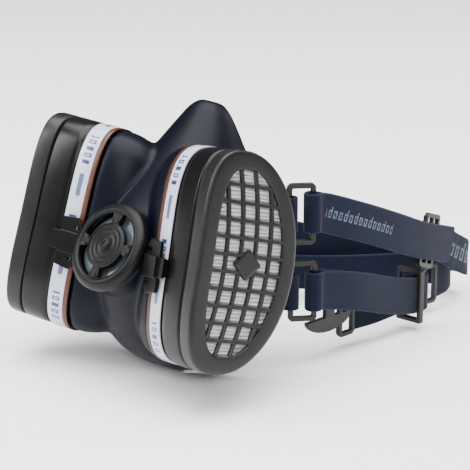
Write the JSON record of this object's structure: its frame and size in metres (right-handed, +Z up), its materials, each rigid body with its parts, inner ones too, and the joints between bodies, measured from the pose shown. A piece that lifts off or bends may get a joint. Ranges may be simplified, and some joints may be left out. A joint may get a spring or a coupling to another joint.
{
  "type": "painters half-mask respirator",
  "caption": "Half-face respirator with soft facepiece, pull-off kidney-shaped filters, an exhalation valve and an elastic buckled harness.",
  "frame": {"origin": "inside the facepiece, in the mid plane at the height of the filter centres, where the head holds the mask", "axes": "+X towards the wearer's left, +Y backwards along the harness, +Z up"},
  "size_m": [0.1464, 0.2472, 0.1276],
  "materials": {
    "facepiece_rubber": "soft satin moulded rubber",
    "grey_plastic": "fine satin moulded plastic, warm dark grey",
    "dark_plastic": "satin moulded plastic, near black",
    "filter_media": "pleated non-woven media",
    "carbon": "black granules",
    "label": "printed label film",
    "orange": "printed colour band",
    "flap_silicone": "thin translucent silicone",
    "webbing": "ribbed woven elastic",
    "buckle_plastic": "satin grey-brown plastic"
  },
  "bodies": {
    "facepiece_body": {"facepiece": "facepiece_rubber", "exhale_valve_seat": "grey_plastic", "inhale_port_left": "grey_plastic", "inhale_port_right": "grey_plastic", "upper_tab_left": "webbing", "upper_tab_right": "webbing", "lower_tab_left": "webbing", "lower_tab_right": "webbing", "upper_strap_left": "webbing", "upper_strap_right": "webbing", "head_band": "webbing", "lower_strap_left": "webbing", "lower_strap_right": "webbing"},
    "valve_cover": {"exhale_valve_cover": "grey_plastic"},
    "exhale_flap": {"exhale_valve_flap": "flap_silicone"},
    "filter_left": {"filter_cover_left": "grey_plastic", "filter_case_left": "dark_plastic", "pleated_media_left": "filter_media", "carbon_screen_left": "dark_plastic", "carbon_bed_left": "carbon", "label_band_left": "label", "colour_band_left": "orange", "gasket_left": "facepiece_rubber"},
    "latch_left": {"filter_latch_left": "dark_plastic"},
    "inhale_flap_left": {"inhale_flap_left": "flap_silicone"},
    "upper_ring_left": {"upper_ring_left": "buckle_plastic"},
    "lower_ring_left": {"lower_ring_left": "buckle_plastic"},
    "filter_right": {"filter_cover_right": "grey_plastic", "filter_case_right": "dark_plastic", "pleated_media_right": "filter_media", "carbon_screen_right": "dark_plastic", "carbon_bed_right": "carbon", "label_band_right": "label", "colour_band_right": "orange", "gasket_right": "facepiece_rubber"},
    "latch_right": {"filter_latch_right": "dark_plastic"},
    "inhale_flap_right": {"inhale_flap_right": "flap_silicone"},
    "upper_ring_right": {"upper_ring_right": "buckle_plastic"},
    "lower_ring_right": {"lower_ring_right": "buckle_plastic"},
    "upper_slider_left": {"upper_slider_left": "buckle_plastic"},
    "upper_slider_right": {"upper_slider_right": "buckle_plastic"},
    "lower_slider_left": {"lower_slider_left": "buckle_plastic"},
    "clasp_hook": {"neck_clasp_hook": "buckle_plastic"},
    "clasp_loop": {"neck_clasp_loop": "buckle_plastic"}
  },
  "joints": [
    {"name": "valve_cover_pull", "type": "slide", "parent": "facepiece_body", "child": "valve_cover", "axis": [0, -0.8387, 0.5446], "range_m": [0, 0.012]},
    {"name": "exhale_flap_lift", "type": "slide", "parent": "facepiece_body", "child": "exhale_flap", "axis": [0, -0.8387, 0.5446], "range_m": [0, 0.0015], "stiffness_N_per_m": 20},
    {"name": "filter_left_pull", "type": "slide", "parent": "facepiece_body", "child": "filter_left", "axis": [0.9697, -0.2132, 0.1192], "range_m": [0, 0.025]},
    {"name": "latch_left_open", "type": "hinge", "parent": "filter_left", "child": "latch_left", "pos_m": [0.03717, -0.03705, 0.00225], "axis": [-0.059, 0.2693, 0.9612], "range_deg": [0, 15], "stiffness_Nm_per_rad": 0.02, "springref_deg": -5.73},
    {"name": "inhale_flap_left_lift", "type": "slide", "parent": "facepiece_body", "child": "inhale_flap_left", "axis": [-0.9697, 0.2132, -0.1192], "range_m": [0, 0.0016], "stiffness_N_per_m": 20},
    {"name": "upper_ring_left_turn", "type": "hinge", "parent": "facepiece_body", "child": "upper_ring_left", "pos_m": [0.04357, 0.03845, 0.015], "axis": [0, 0, 1], "range_deg": [-2.5, 4]},
    {"name": "lower_ring_left_turn", "type": "hinge", "parent": "facepiece_body", "child": "lower_ring_left", "pos_m": [0.04657, 0.03645, -0.022], "axis": [0, 0, 1], "range_deg": [-4, 4]},
    {"name": "filter_right_pull", "type": "slide", "parent": "facepiece_body", "child": "filter_right", "axis": [-0.9697, -0.2132, 0.1192], "range_m": [0, 0.025]},
    {"name": "latch_right_open", "type": "hinge", "parent": "filter_right", "child": "latch_right", "pos_m": [-0.03717, -0.03705, 0.00225], "axis": [-0.059, -0.2693, -0.9612], "range_deg": [0, 15], "stiffness_Nm_per_rad": 0.02, "springref_deg": -5.73},
    {"name": "inhale_flap_right_lift", "type": "slide", "parent": "facepiece_body", "child": "inhale_flap_right", "axis": [0.9697, 0.2132, -0.1192], "range_m": [0, 0.0016], "stiffness_N_per_m": 20},
    {"name": "upper_ring_right_turn", "type": "hinge", "parent": "facepiece_body", "child": "upper_ring_right", "pos_m": [-0.04357, 0.03845, 0.015], "axis": [0, 0, 1], "range_deg": [-4, 2.5]},
    {"name": "lower_ring_right_turn", "type": "hinge", "parent": "facepiece_body", "child": "lower_ring_right", "pos_m": [-0.04657, 0.03645, -0.022], "axis": [0, 0, 1], "range_deg": [-4, 4]},
    {"name": "upper_slider_left_slide", "type": "slide", "parent": "facepiece_body", "child": "upper_slider_left", "axis": [-0.1683, 0.9351, -0.3117], "range_m": [-0.005, 0.005]},
    {"name": "upper_slider_right_slide", "type": "slide", "parent": "facepiece_body", "child": "upper_slider_right", "axis": [0.3219, 0.8134, -0.4846], "range_m": [-0.003, 0.003]},
    {"name": "lower_slider_left_slide", "type": "slide", "parent": "facepiece_body", "child": "lower_slider_left", "axis": [0, 1, 0], "range_m": [-0.005, 0.001]},
    {"name": "clasp_hook_swing", "type": "hinge", "parent": "facepiece_body", "child": "clasp_hook", "pos_m": [0.0418, 0.088, -0.0455], "axis": [0, 0, 1], "range_deg": [-5, 10]},
    {"name": "clasp_loop_swing", "type": "hinge", "parent": "facepiece_body", "child": "clasp_loop", "pos_m": [0.0376, 0.161, -0.0466], "axis": [0, 0, 1], "range_deg": [-8, 8]}
  ]
}
